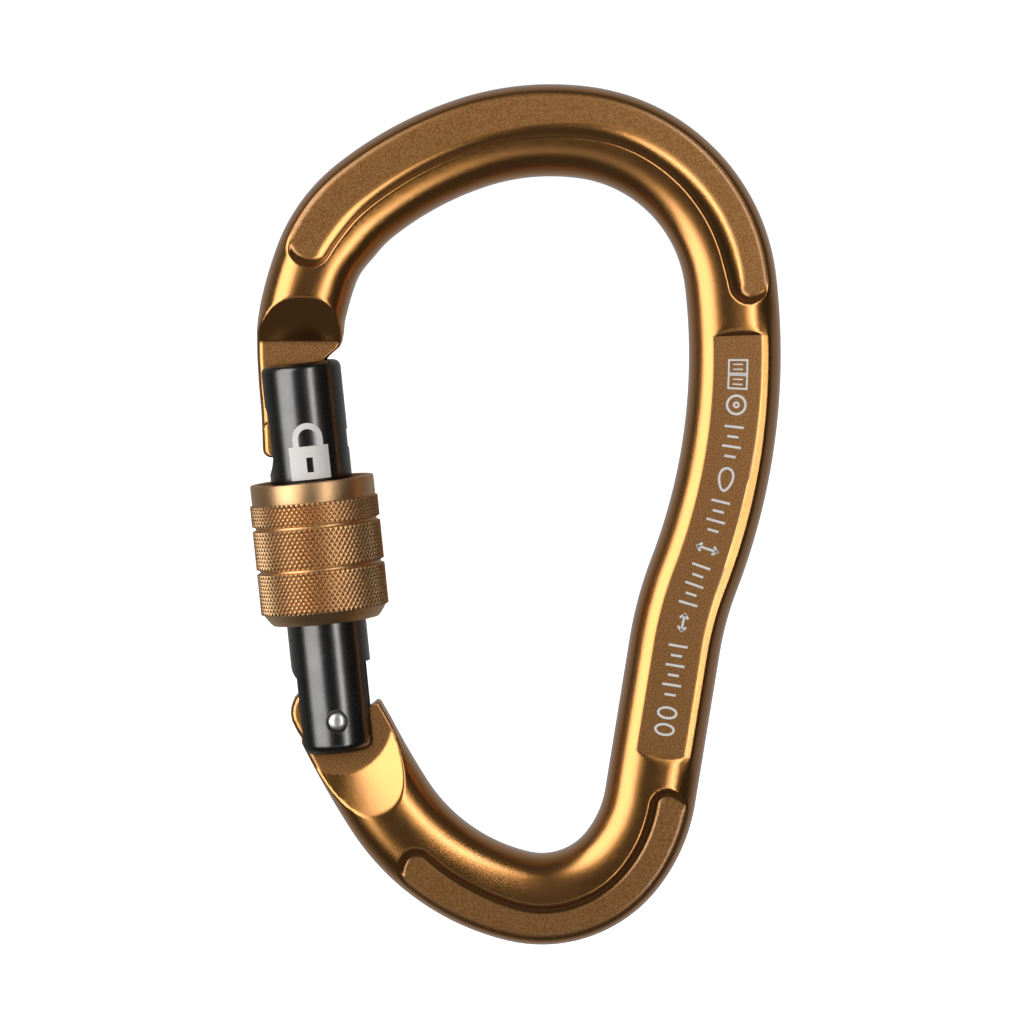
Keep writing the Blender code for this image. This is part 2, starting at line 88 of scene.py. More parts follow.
MARKING_END = 0.55            # slope of the short walls at its ends
SHOULDER = (-4.7, 0.26, 0.65) # fuller stretch beside the marking flat: place, height, width
FACET = (-3.65, 0.22)         # the flat's outer edge slopes away from this place
WAIST = (70.0, 12.0, 0.4)     # where along the bar that facet is widest: middle, reach, gain
NOSE_TAPER = 0.75             # the bar's loop side draws in by this much at the nose

HINGE = np.array((-30.1, -76.9))          # the rivet, as (x, z)
HINGE_OFFSET = 0.3            # the gate's axis passes the rivet on its outer side
LEAN = math.radians(5.8)
AXIS = np.array((-math.sin(LEAN), math.cos(LEAN)))
SIDE = np.array((AXIS[1], -AXIS[0]))      # towards the loop
LUG_HALF = 2.5                # half thickness of the lug
SWING = 7.7                   # radius of the lug's flat about the rivet
SCOOP_SLOPE = 0.4667          # slope of the cone from that flat up to the bar
NOSE_HALF = 1.7               # half thickness of the nose plate
NOSE_EDGE = -23.4             # height where the plate meets the nose's ramp
NOSE_SLOPE = 0.6154
HEAD_HALF = 2.6               # half thickness of the tongue's head
HEAD_REACH = 2.6              # the head's height above the middle of its tip
TONGUE_TIP = (-39.5, -38.5)
TIP = 1.2                     # radius of the tongue's tip

RING_STEP = 0.77              # mesh step along the bar
FINE_STEP = 0.22              # and at the nose, the lug and the pockets' ends
MIN_STEP = 0.16               # the least that is kept, but for the ends of the marked flat

MARK_LIFT = 0.03              # how far a mark stands above its surface, and is sunk in it
MARK_ROW = -0.25              # across the bar, the middle of the row of marks
STROKE = 0.34
MARK_ON_GATE = (0.27, 38.3)   # round the gate from its front, and above the rivet

GATE_RADIUS = 5.65
GATE_UPPER_RADIUS = 5.78      # from just inside the sleeve's mouth upwards
GATE_TOP = 50.9               # above the rivet, like the gate's other heights
GATE_BOTTOM = -4.65
TOP_ROUND = 1.1
BOTTOM_ROUND = 1.5
SQUARE_END = 0.0001           # rise of a slot's end that is all but square

SLEEVE_BASE = 14.0            # the sleeve's lower end, above the rivet
SLEEVE_TOP = 20.2             # its other heights are from that end
SLEEVE_BORE = 5.95
SLEEVE_MOUTH = 7.9            # radius of the wider bore at its top
DIAMONDS = 76                 # round each knurled band
BANDS = ((1.66, 7.6, 11), (8.1, 13.7, 10), (14.2, 17.3, 6))   # low, high, rows of diamonds

RIVET_RADIUS = 1.4
RIVET_HOLE = 1.46


# ---------------------------------------------------------------- centreline of the bar


def walk(arcs, heading, side):
    """Stretches of the centreline as (start distance, point, heading, curvature, length)."""
    place = np.array((0.0, BAR_HALF_WIDTH))
    distance = 0.0
    stretches = []
    for radius, sweep in arcs:
        if radius == 0:
            length, bend = sweep, 0.0
        else:
            length, bend = abs(radius) * math.radians(sweep), side / radius
        stretches.append((distance, place, heading, bend, length))
        place = along(place, heading, bend, length)
        heading += bend * length
        distance += length
    return stretches, distance


def along(place, heading, bend, length):
    """The point a length along an arc or a straight."""
    if bend == 0:
        return place + length * np.array((math.cos(heading), math.sin(heading)))
    turn = heading + bend * length
    return place + np.array((
        (math.sin(turn) - math.sin(heading)) / bend,
        (math.cos(heading) - math.cos(turn)) / bend,
    ))


NOSE_WALK, NOSE_RUN = walk(TO_NOSE, math.pi, 1)
HINGE_WALK, HINGE_RUN = walk(TO_HINGE, 0.0, -1)
BAR_END = HINGE_RUN - LUG_RUN


def centre(distance):
    """Point of the centreline and the direction to its outer side, from the top's middle."""
    stretches = NOSE_WALK if distance < 0 else HINGE_WALK
    reach = abs(distance)
    chosen = stretches[0]
    for stretch in stretches:
        if stretch[0] <= reach:
            chosen = stretch
    start, place, heading, bend, _ = chosen
    place = along(place, heading, bend, reach - start)
    heading += bend * (reach - start)
    if distance < 0:
        heading += math.pi
    return place, np.array((-math.sin(heading), math.cos(heading)))


def edge_points(distance):
    """The bar's outer and loop-side edges at a distance along it."""
    place, out = centre(distance)
    share = min(1.0, max(0.0, (14 - NOSE_RUN - distance) / 8))
    inner = BAR_HALF_WIDTH - NOSE_TAPER * share * share * (3 - 2 * share)
    return place + out * BAR_HALF_WIDTH, place - out * inner


# ---------------------------------------------------------------- height of the frame's surface


def smooth_min(a, b, k):
    """The lower of two heights, with a fillet of about k where they cross."""
    h = np.maximum(k - np.abs(a - b), 0.0) / k
    return np.minimum(a, b) - h * h * k * 0.25


def smooth_max(a, b, k):
    """The higher of two heights, with a fillet of about k where they cross."""
    return -smooth_min(-a, -b, k)


def step_up(value, start, end):
    """0 to 1 between two values, smooth at both."""
    share = np.clip((value - start) / (end - start), 0, 1)
    return share * share * (3 - 2 * share)


def plain_half(across):
    """Half thickness of the plain bar: a skewed superellipse."""
    from_crown = across + CROWN
    reach = BAR_HALF_WIDTH + np.sign(from_crown) * CROWN
    share = np.clip(np.abs(from_crown / reach), 0.0, 1.0)
    return BAR_HALF * (1 - share ** ROUNDNESS) ** (1 / ROUNDNESS)


def pocket_height(across, distance, start, end):
    """Height of a pocket's floor and cove, and how far a place is past the cove."""
    nearest = np.full_like(across, min(distance - start, end - distance))
    places, ridges, coves = zip(*COVES)
    from_ridge = np.interp(distance, places, ridges) - across
    cove = np.interp(distance, places, coves)
    from_outside = across + BAR_HALF_WIDTH + OUTER_MARGIN
    short = np.maximum(POCKET_CORNER - from_ridge, 0)
    shy = np.maximum(POCKET_CORNER - nearest, 0)
    corner = (short > 0) & (shy > 0)
    inside = np.where(corner, POCKET_CORNER - np.hypot(short, shy), np.minimum(from_ridge, nearest))
    along_end = np.where(corner, shy / (short + shy + 1e-9), (nearest < from_ridge) * 1.0)
    width = cove + (END_COVE - cove) * along_end
    short = np.maximum(OUTER_CORNER - from_outside, 0)
    shy = np.maximum(OUTER_CORNER - nearest, 0)
    corner = (short > 0) & (shy > 0)
    outer = OUTER_CORNER - np.hypot(short, shy)
    width = np.where(corner & (outer < inside), END_COVE, width)
    inside = np.where(corner, np.minimum(outer, inside), inside)
    t = np.clip(1 - inside / width, 0, 1)
    rise = BAR_HALF - POCKET_HALF
    height = POCKET_HALF + rise * (COVE_BASE * t + (1 - COVE_BASE) * t ** 3)
    height = smooth_max(np.full_like(height, POCKET_HALF + 0.03), height, 0.12)
    return height + np.maximum(-inside, 0) * COVE_BEYOND, inside - width


def rounded_plate(height, to_outer, to_loop):
    """A plate's height with its edges rounded."""
    for gap, radius in ((to_outer, 1.0), (to_loop, 0.6)):
        short = radius - np.clip(gap, 0, radius)
        height = height - radius + np.sqrt(np.maximum(radius ** 2 - short ** 2, 0.0))
    return height


def plate_cut(half, level, to_outer, to_loop):
    """Cuts the bar down to a plate, with the flat part of it marked."""
    rounded = rounded_plate(level, to_outer, to_loop)
    result = smooth_min(half, rounded, 0.14)
    flat = np.minimum(step_up(to_outer, 0.7, 1.0), step_up(to_loop, 0.4, 0.6))
    return result, flat * (half > result + 0.05)


def surface(x, z, across, distance, to_outer, to_loop):
    """Half thickness of the frame, and how machined the surface is there."""
    half = plain_half(across)
    machined = np.zeros_like(half)
    outside = max(MARKING[0] - distance, distance - MARKING[1])
    place, height, width = SHOULDER
    fade = 1 - step_up(outside, -1.0, 4.0)
    fuller = height * fade * np.exp(-((across - place) / width) ** 2)
    half = half + fuller * step_up(across, -6.4, -5.2)
    for start, end in POCKETS:
        if start - 2 < distance < end + 2:
            pocket, past = pocket_height(across, distance, start, end)
            cut_down = smooth_min(half, pocket, 0.24 + 0.4 * step_up(-across, 3.0, 4.6))
            flat = step_up(past, -0.6, 0.1) * (half > cut_down + 0.1)
            machined = np.maximum(machined, flat * POCKET_GRAIN)
            half = cut_down
    if outside < 1.2:
        edge, slope = FACET
        middle, reach, gain = WAIST
        edge += gain * math.exp(-((distance - middle) / reach) ** 2)
        level = MARKING_HALF + max(0.0, outside) * MARKING_END
        level = level - slope * np.maximum(edge - across, 0.0)
        cut_down = smooth_min(half, level, 0.05)
        if outside <= 0:
            machined = np.maximum(machined, (half > level + 0.01) * (across > edge))
        half = cut_down
    if distance < -NOSE_RUN + 12:
        ramp = NOSE_HALF + (z - NOSE_EDGE) * NOSE_SLOPE
        level = smooth_max(np.full_like(ramp, NOSE_HALF), ramp, 0.3)
        tip_gap = np.abs(z - TONGUE_TIP[1] - HEAD_REACH / 2) - HEAD_REACH / 2
        in_head = np.hypot(x - TONGUE_TIP[0], np.maximum(tip_gap, 0.0)) < TIP + 0.02
        head = np.where(in_head & (distance < -NOSE_RUN - 8), HEAD_HALF, 0.0)
        half, flat = plate_cut(half, np.maximum(level, head), to_outer, to_loop)
        machined = np.maximum(machined, flat * (z < NOSE_EDGE))
    if distance > HINGE_RUN - 20:
        r = np.hypot(x - HINGE[0], z - HINGE[1])
        ramp = LUG_HALF + (r - SWING) * SCOOP_SLOPE
        level = smooth_max(np.full_like(ramp, LUG_HALF), ramp, 0.12)
        half, flat = plate_cut(half, level, to_outer, to_loop)
        machined = np.maximum(machined, flat * (r < SWING))
    return np.maximum(half, 0.0), machined


# ---------------------------------------------------------------- grid over the frame


def across_places():
    """Places across the bar where the surface is sampled, closer at its edges."""
    angles = np.array((0.0, 0.012, 0.035, 0.07, 0.12, 0.18, 0.25, 0.33, 0.42, 0.52))
    share = np.cos(angles) ** (2 / ROUNDNESS)
    outer = -CROWN - (BAR_HALF_WIDTH - CROWN) * share
    loop = -CROWN + (BAR_HALF_WIDTH + CROWN) * share
    middle = np.arange(outer[-1] + 0.24, loop[-1] - 0.1, 0.255)
    creases = np.concatenate((np.arange(-2.4, 1.8, 0.15), (-5.21, -4.5, -3.65, -3.25, 3.12)))
    places = np.concatenate((outer, middle, creases, loop))
    places = np.sort(places)
    keep = [places[0]]
    for place in places[1:]:
        if place - keep[-1] > 0.09 or abs(place) > 5.7:
            keep.append(place)
    return np.array(keep)


def along_places():
    """Distances along the bar where a ring is drawn, closer at its features."""
    marks = [-NOSE_RUN, BAR_END]
    features = [(-NOSE_RUN, -NOSE_RUN + 11.5), (BAR_END - 14.5, BAR_END)]
    for start, end in POCKETS:
        features += [(start - 1.2, start + 3.4), (end - 3.4, end + 1.2)]
    for start, end in features:
        marks += list(np.arange(start, end, FINE_STEP))
    beside = np.array((0.03, 0.07, 0.12, 0.3, 0.6))
    for end in MARKING:
        marks += list(end + np.concatenate((-beside[::-1], (0.0,), beside)))
    marks += list(np.arange(-NOSE_RUN, BAR_END, RING_STEP))
    marks.sort()
    keep = [marks[0]]
    for mark in marks[1:]:
        near_end = min(abs(mark - MARKING[0]), abs(mark - MARKING[1])) < 0.2
        if mark <= BAR_END and mark - keep[-1] > (0.025 if near_end else MIN_STEP):
            keep.append(mark)
    keep[-1] = BAR_END
    return keep


def polar(radius, degrees):
    """A point about the rivet, the angle from the gate's axis towards the loop."""
    angle = math.radians(degrees)
    return HINGE + radius * (AXIS * math.cos(angle) + SIDE * math.sin(angle))


def stretch(pairs, step):
    """Chords between two outlines, evenly spaced between paired points."""
    chords = []
    for (a, b), (c, d) in zip(pairs, pairs[1:]):
        a, b, c, d = (np.array(p, dtype=float) for p in (a, b, c, d))
        length = max(np.linalg.norm(c - a), np.linalg.norm(d - b))
        count = max(1, math.ceil(length / step))
        for i in range(1, count + 1):
            share = i / count
            chords.append((a + (c - a) * share, b + (d - b) * share))
    return chords


def nose_chords():
    """Chords beyond the bar's end: the nose plate and its tongue."""
    tip = np.array(TONGUE_TIP)
    pairs = [
        edge_points(-NOSE_RUN),
        ((-41.4, -20.2), (-29.2, -22.1)), ((-41.55, -21.9), (-29.42, -23.3)),
        ((-41.52, -23.4), (-29.8, -24.1)), ((-41.5, -24.9), (-31.2, -25.3)),
        ((-41.47, -25.8), (-32.0, -26.3)), ((-41.27, -29.3), (-36.4, -29.7)),
        ((-40.92, -33.3), (-38.2, -33.5)), (tip + (-TIP, 0), tip + (TIP, 0)),
    ]
    for degrees in (18, 36, 54, 70, 82):
        a = math.radians(degrees)
        drop = np.array((0, -TIP * math.sin(a)))
        across = np.array((TIP * math.cos(a), 0))
        pairs.append((tip - across + drop, tip + across + drop))
    return stretch(pairs, 0.24)


def hinge_chords():
    """Chords beyond the bar's end: the lug around the rivet."""
    start = BAR_END
    cam = [polar(3.55 + 2.5 * math.radians(a), a) for a in range(40, -21, -5)]
    drops = (0.3, 0.1, 0.0, 0.0, 0.0, 0.0, 0.15, 0.5)
    lobe = [polar(6.9 - drop, a) for drop, a in zip(drops, (-87, -79, -71, -67, -62, -58, -53, -48))]
    outer = [edge_points(start + d)[0] for d in (0, 1.3, 2.5, 2.65, 3.8, 5.0)]
    outer += [polar(5.95, -112), polar(6.15, -101)]
    loop = [edge_points(start)[1], edge_points(start + 2.4)[1]]
    loop += [polar(6.6, 73.6), polar(6.32, 70.5), polar(4.5, 78), polar(4.6, 58)]
    loop += [cam[0], cam[4]]
    pairs = list(zip(outer, loop))
    pairs += list(zip(lobe, cam[5:]))
    pairs.append((polar(6.1, -45), polar(4.75, -32)))
    pairs.append((polar(5.7, -42), polar(5.1, -38)))
    return stretch(pairs, 0.26)


def build_body():
    """The frame as one closed mesh on a fine grid, with its machined areas marked."""
    places = across_places()
    share = (places + BAR_HALF_WIDTH) / (2 * BAR_HALF_WIDTH)
    rings = [(edge_points(s), s) for s in along_places()]
    nose = [(c, -NOSE_RUN - 0.3 * (i + 1)) for i, c in enumerate(nose_chords())]
    hinge = [(c, BAR_END + 0.1 + 0.01 * i) for i, c in enumerate(hinge_chords())]
    rings = nose[::-1] + rings + hinge
    points, finish = [], []
    for (outer, loop), distance in rings:
        flat = outer[None, :] + (loop - outer)[None, :] * share[:, None]
        length = np.linalg.norm(loop - outer)
        x, z = flat[:, 0], flat[:, 1]
        half, machined = surface(x, z, places, distance, share * length, (1 - share) * length)
        half[0] = half[-1] = 0.0
        front = np.stack((x, -half, z), 1)
        back = np.stack((x, half, z), 1)[-2:0:-1]
        points.append(np.concatenate((front, back)))
        finish.append(np.concatenate((machined, machined[-2:0:-1])))
    count = len(points[0])
    total = len(points)
    index = np.arange(total * count).reshape(total, count)
    a, b = index[:-1], index[1:]
    faces = np.stack((a, np.roll(a, -1, 1), np.roll(b, -1, 1), b), -1).reshape(-1, 4)
    caps = [index[0][::-1].tolist(), index[-1].tolist()]
    mesh = bpy.data.meshes.new("frame_body")
    mesh.from_pydata((np.concatenate(points) * MM).tolist(), [], faces.tolist() + caps)
    layer = mesh.attributes.new("machined", "FLOAT", "POINT")
    layer.data.foreach_set("value", np.concatenate(finish).astype(np.float32))
    mesh.update()
    return tidy(mesh, "frame_body")


# ---------------------------------------------------------------- mesh helpers


def tidy(mesh, name, angle=None):
    """Makes normals point out and shades smooth, with edges sharper than the angle kept."""
    builder = bmesh.new()
    builder.from_mesh(mesh)
    bmesh.ops.recalc_face_normals(builder, faces=builder.faces)
    builder.to_mesh(mesh)
    builder.free()
    mesh.shade_smooth()
    if angle is not None:
        mesh.set_sharp_from_angle(angle=math.radians(angle))
    obj = bpy.data.objects.new(name, mesh)
    bpy.context.scene.collection.objects.link(obj)
    return obj


def gate_matrix(height=0.0):
    """Places Z up the gate's axis from the rivet's level, and X towards the loop."""
    foot = HINGE - SIDE * HINGE_OFFSET + AXIS * height
    lean = Matrix.Rotation(-LEAN, 4, "Y")
    return Matrix.Translation((foot[0] * MM, 0.0, foot[1] * MM)) @ lean


def rivet_matrix(side=1):
    """Places Z along the rivet, towards -Y where side is 1."""
    turn = Matrix.Rotation(side * math.pi / 2, 4, "X")
    return Matrix.Translation((HINGE[0] * MM, 0.0, HINGE[1] * MM)) @ turn


def lathe(profile, sides, name):
    """A closed profile of (radius, height) turned about Z."""
    mesh = bpy.data.meshes.new(name)
    verts, faces, rows = [], [], []
    for radius, height in profile:
        if radius < 1e-6:
            rows.append([len(verts)] * sides)
            verts.append((0, 0, height * MM))
            continue
        rows.append(list(range(len(verts), len(verts) + sides)))
        for i in range(sides):
            a = 2 * math.pi * i / sides
            verts.append((radius * math.cos(a) * MM, radius * math.sin(a) * MM, height * MM))
    closed = profile[0][0] > 1e-6
    for first, second in zip(rows, rows[1:] + (rows[:1] if closed else [])):
        for i in range(sides):
            j = (i + 1) % sides
            face = []
            for v in (first[i], first[j], second[j], second[i]):
                if v not in face:
                    face.append(v)
            if len(face) > 2:
                faces.append(face)
    mesh.from_pydata(verts, [], faces)
    return mesh


def fillet(corner, radius, start, end, steps=6):
    """Points of a quarter round, as (radius, height) about its centre."""
    return [
        (corner[0] + radius * math.cos(math.radians(start + (end - start) * i / steps)),
         corner[1] + radius * math.sin(math.radians(start + (end - start) * i / steps)))
        for i in range(steps + 1)
    ]


def prism(outline, low, high, name):
    """A prism from an outline of (y, z), between two X values."""
    verts = [(low * MM, y * MM, z * MM) for y, z in outline]
    verts += [(high * MM, y * MM, z * MM) for y, z in outline]
    n = len(outline)
    faces = [list(range(n))[::-1], list(range(n, 2 * n))]
    faces += [(i, (i + 1) % n, n + (i + 1) % n, n + i) for i in range(n)]
    mesh = bpy.data.meshes.new(name)
    mesh.from_pydata(verts, [], faces)
    return mesh


def cut(obj, meshes):
    """Cuts meshes, given with their places, out of an object."""
    helpers = []
    for mesh, place in meshes:
        helper = tidy(mesh, mesh.name)
        helper.matrix_world = place
        helpers.append(helper)
        modifier = obj.modifiers.new(helper.name, "BOOLEAN")
        modifier.operation = "DIFFERENCE"
        modifier.solver = "EXACT"
        modifier.object = helper
    bpy.context.view_layer.update()
    source = obj.evaluated_get(bpy.context.evaluated_depsgraph_get())
    mesh = bpy.data.meshes.new_from_object(source)
    obj.modifiers.clear()
    obj.data = mesh
    for helper in helpers:
        bpy.data.objects.remove(helper, do_unlink=True)


# ---------------------------------------------------------------- gate, sleeve and rivet


def arch(half, low, high, rise, corner=0.0):
    """Outline of a slot's end, pointed by rise or rounded at its corners."""
    if corner == 0:
        return [(-half, low), (half, low), (half, high), (0.0, high + rise), (-half, high)]
    outline = []
    for cy, cz, start in (
        (half - corner, low + corner, -90), (half - corner, high - corner, 0),
        (corner - half, high - corner, 90), (corner - half, low + corner, 180),
    ):
        for i in range(7):
            a = math.radians(start + 15 * i)
            outline.append((cy + corner * math.cos(a), cz + corner * math.sin(a)))
    return outline


def build_gate():
    """The gate: a round bar slotted for the lug and the tongue."""
    r = GATE_RADIUS
    top = GATE_UPPER_RADIUS
    profile = [(0.0, GATE_TOP)]
    profile += fillet((top - TOP_ROUND, GATE_TOP - TOP_ROUND), TOP_ROUND, 90, 0, 8)
    profile += [(top, h) for h in (45, 40, 33.6)] + [(r, h) for h in (33, 26, 18, 9, 3)]
    profile += fillet((r - BOTTOM_ROUND, GATE_BOTTOM + BOTTOM_ROUND), BOTTOM_ROUND, 0, -90, 10)
    profile.append((0.0, GATE_BOTTOM))
    gate = tidy(lathe(profile, 144, "gate_bar"), "gate_bar")
    here = gate_matrix()
    gate.matrix_world = here
    hole = RIVET_HOLE
    countersink = [(0, 5.0), (hole, 5.0), (hole, 5.3), (1.8, 5.68), (2.3, 6.5), (0, 6.5)]
    cut(gate, [
        (prism(arch(2.8, -9, 7.9, SQUARE_END), -0.2, 9, "slot_in"), here),
        (prism(arch(2.8, -9, 6.4, 1.8), -9, 0, "slot_out"), here),
        (lathe([(0, 7), (2.3, 7), (2.3, 29), (0, 29)], 48, "bore"), here),
        (prism(arch(2.0, 37.4, 60, 0, 0.4), -9, 4.4, "tongue_slot"), here),
        (prism(arch(3.0, 38.3, 40.9, 0, 0.5), 5.6, 9, "relief"), here),
        (prism(arch(2.95, 35.4, 45.9, 0, 2.9), -9, -2.2, "keyhole"), here),
        (lathe([(0, -8), (hole, -8), (hole, 8), (0, 8)], 48, "rivet_hole"), rivet_matrix()),
        (lathe(countersink, 48, "sink_front"), rivet_matrix(1)),
        (lathe(countersink, 48, "sink_back"), rivet_matrix(-1)),
    ])
    gate.data.shade_smooth()
    gate.data.set_sharp_from_angle(angle=math.radians(28))
    bevel = gate.modifiers.new("edges", "BEVEL")
    bevel.width = 0.14 * MM
    bevel.segments = 2
    bevel.limit_method = "ANGLE"
    bevel.angle_limit = math.radians(40)
    bevel.harden_normals = True
    return gate


def knurl_rows(low, high, rows):
    """Heights of a knurled band's lattice, three to each half diamond."""
    return [low + (high - low) * i / (rows * 3) for i in range(rows * 3 + 1)]


def build_sleeve():
    """The locking sleeve with its three knurled bands."""
    sides = DIAMONDS * 6
    rim, groove, top, valley = 8.8, 8.62, 9.1, 8.84
    end, mouth = SLEEVE_TOP, SLEEVE_MOUTH
    foot = [(0.0, SLEEVE_BORE), (0.0, 7.2), (0.06, 7.55), (0.3, 7.8), (0.9, 8.25), (1.45, 8.6), (1.62, 8.72)]
    collar = [(17.36, rim - 0.04), (17.5, rim), (end - 0.3, rim), (end - 0.12, rim - 0.05)]
    collar += [(end - 0.02, rim - 0.16), (end, rim - 0.3), (end, mouth + 0.2), (end - 0.1, mouth + 0.06)]
    collar += [(end - 0.4, mouth), (11.7, mouth), (11.5, mouth - 0.15), (11.0, SLEEVE_BORE)]
    rows = [(height, radius, None) for height, radius in foot]    # height, radius, lattice row
    for low, high, count in BANDS:
        for i, height in enumerate(knurl_rows(low + 0.12, high - 0.12, count)):
            rows.append((height, None, i))
        if high != BANDS[-1][1]:
            rows += [(high + 0.06, groove + 0.06, None), (high + 0.14, groove, None)]
            rows += [(high + 0.36, groove, None), (high + 0.44, groove + 0.06, None)]
    rows += [(height, radius, None) for height, radius in collar]
    angle = np.arange(sides) * 2 * math.pi / sides
    verts, flip = [], []
    for height, radius, row in rows:
        if row is None:
            ring = np.full(sides, radius)
            flip.append(None)
        else:
            p = np.arange(sides) / 3.0
            q = row / 3.0
            ring = top - (top - valley) * np.clip(knurl(p, q) * 1.6 - 0.12, 0, 1)
            flip.append(row)
        verts.append(np.stack((ring * np.cos(angle), ring * np.sin(angle), np.full(sides, height)), 1))
    faces = []
    total = len(rows)
    for k in range(total):
        n = (k + 1) % total
        inner = flip[k] is not None and flip[n] is not None
        for i in range(sides):
            j = (i + 1) % sides
            a, b, c, d = k * sides + i, k * sides + j, n * sides + j, n * sides + i
            if not inner:
                faces.append((a, b, c, d))
            elif (i // 3 + flip[k] // 3) % 2 == 0:
                faces += [(a, b, d), (b, c, d)]
            else:
                faces += [(a, b, c), (a, c, d)]
    mesh = bpy.data.meshes.new("knurled_sleeve")
    mesh.from_pydata((np.concatenate(verts) * MM).tolist(), [], faces)
    sleeve = tidy(mesh, "knurled_sleeve", 24)
    sleeve.matrix_world = gate_matrix(SLEEVE_BASE)
    return sleeve


def knurl(p, q):
    """Depth from 0 to 1 of a lattice of four-sided pits, at a point in half diamonds."""
    p0, q0 = np.floor(p), np.floor(q)
    u, v = p - p0, q - q0
    even = (p0 + q0) % 2 == 0
    near = np.maximum(1 - (u + v), (u + v) - 1)
    other = np.maximum((u - v), (v - u))
    return np.clip(np.where(even, near, other), 0, 1)


def build_rivet():
    """The rivet with two peened heads."""
    half = GATE_RADIUS + 0.14
    r = RIVET_RADIUS
    head = [(0.0, half), (0.35, half - 0.02), (0.7, half - 0.08), (1.0, half - 0.2)]
    head += [(1.22, half - 0.36), (1.35, half - 0.54), (r, half - 0.75)]
    profile = head + [(r, -half + 0.75)] + [(x, -z) for x, z in head[::-1][1:]]
    rivet = tidy(lathe(profile, 64, "rivet_pin"), "rivet_pin", 50)
    rivet.matrix_world = rivet_matrix()
    return rivet


# ---------------------------------------------------------------- marks


def ribbon(path, width, place, closed=False):
    """Vertices and faces of a thin raised band along a path of (along, across)."""
    points = [np.array(p, dtype=float) for p in path]
    n = len(points)
    verts, faces = [], []
    for i, point in enumerate(points):
        before = points[i - 1] if i > 0 or closed else point
        after = points[(i + 1) % n] if i < n - 1 or closed else point
        first = point - before
        second = after - point
        turn = sum(v / max(np.linalg.norm(v), 1e-9) for v in (first, second))
        turn = turn / max(np.linalg.norm(turn), 1e-9)
        side = np.array((-turn[1], turn[0]))
        edge = second if np.linalg.norm(second) > 1e-9 else first
        edge = edge / np.linalg.norm(edge)
        mitre = max(0.5, abs(side @ np.array((-edge[1], edge[0]))))
        reach = side * width / 2 / mitre
        verts += [place(*(point + reach), MARK_LIFT), place(*(point - reach), MARK_LIFT)]
        verts += [place(*(point - reach), -MARK_LIFT), place(*(point + reach), -MARK_LIFT)]
    for i in range(n if closed else n - 1):
        a, b = 4 * i, 4 * ((i + 1) % n)
        faces += [(a + k, a + (k + 1) % 4, b + (k + 1) % 4, b + k) for k in range(4)]
    if not closed:
        faces += [(3, 2, 1, 0), tuple(4 * n - 4 + k for k in range(4))]
    return verts, faces


def mark_object(name, bands, place):
    """One mesh of all the bands, each given as (path, width, closed)."""
    verts, faces = [], []
    for path, width, closed in bands:
        more, around = ribbon(path, width, place, closed)
        faces += [tuple(len(verts) + i for i in face) for face in around]
        verts += more
    mesh = bpy.data.meshes.new(name)
    mesh.from_pydata([tuple(c * MM for c in v) for v in verts], [], faces)
    return tidy(mesh, name, 30)


def round_path(centre_at, radius, start=0, end=360, step=15):
    """Points round a circle, or an ellipse where the radius is a pair."""
    rx, ry = radius if isinstance(radius, tuple) else (radius, radius)
    return [
        (centre_at[0] + rx * math.cos(math.radians(a)), centre_at[1] + ry * math.sin(math.radians(a)))
        for a in range(start, end, step)
    ]


def double_arrow(middle, half, head, across):
    """A shaft with a chevron at each end, along the bar or across it."""
    lines = [[(-half, 0), (half, 0)]]
    for end in (-1, 1):
        lines.append([(end * (half - head), -head), (end * half, 0), (end * (half - head), head)])
    turned = [[(v, u) if across else (u, v) for u, v in line] for line in lines]
    return [([(middle + u, MARK_ROW + v) for u, v in line], STROKE, False) for line in turned]


def frame_marks():
    """Plain signs on the marking flat: a booklet, rings, a loop, arrows and rows of bars."""
    bands = []
    for low, high in ((47.6, 49.5), (49.7, 51.6)):
        page = [(low, -1.3), (high, -1.3), (high, 1.3), (low, 1.3)]
        bands.append(([(u, v + MARK_ROW) for u, v in page], 0.26, True))
        middle = (low + high) / 2
        for line in (middle - 0.35, middle + 0.35):
            bands.append(([(line, MARK_ROW - 0.7), (line, MARK_ROW + 0.7)], 0.2, False))
    bands.append((round_path((53.9, MARK_ROW), 1.3), STROKE, True))
    bands.append((round_path((53.9, MARK_ROW), 0.35, step=45), 0.3, True))
    for start, count in ((57.0, 4), (67.7, 4), (77.2, 5), (89.0, 6)):
        for i in range(count):
            reach = 1.35 if i % 2 == 0 else 0.8
            u = start + 1.4 * i
            bands.append(([(u, MARK_ROW - reach), (u, MARK_ROW + reach)], STROKE, False))
    loop = [(64.5 + 1.6 * math.cos(a), MARK_ROW + (0.95 - 0.25 * math.cos(a)) * math.sin(a))
            for a in np.arange(0, 2 * math.pi, math.pi / 12)]
    bands.append((loop, STROKE, True))
    bands += double_arrow(74.6, 1.45, 0.6, True) + double_arrow(85.6, 1.2, 0.6, False)
    bands += [(round_path((u, MARK_ROW), (0.75, 1.3)), STROKE, True) for u in (98.6, 101.0)]

    def on_flat(u, v, lift):
        place, out = centre(u)
        flat = place - out * v
        return flat[0], -(MARKING_HALF + lift), flat[1]

    return mark_object("frame_marks", bands, on_flat)


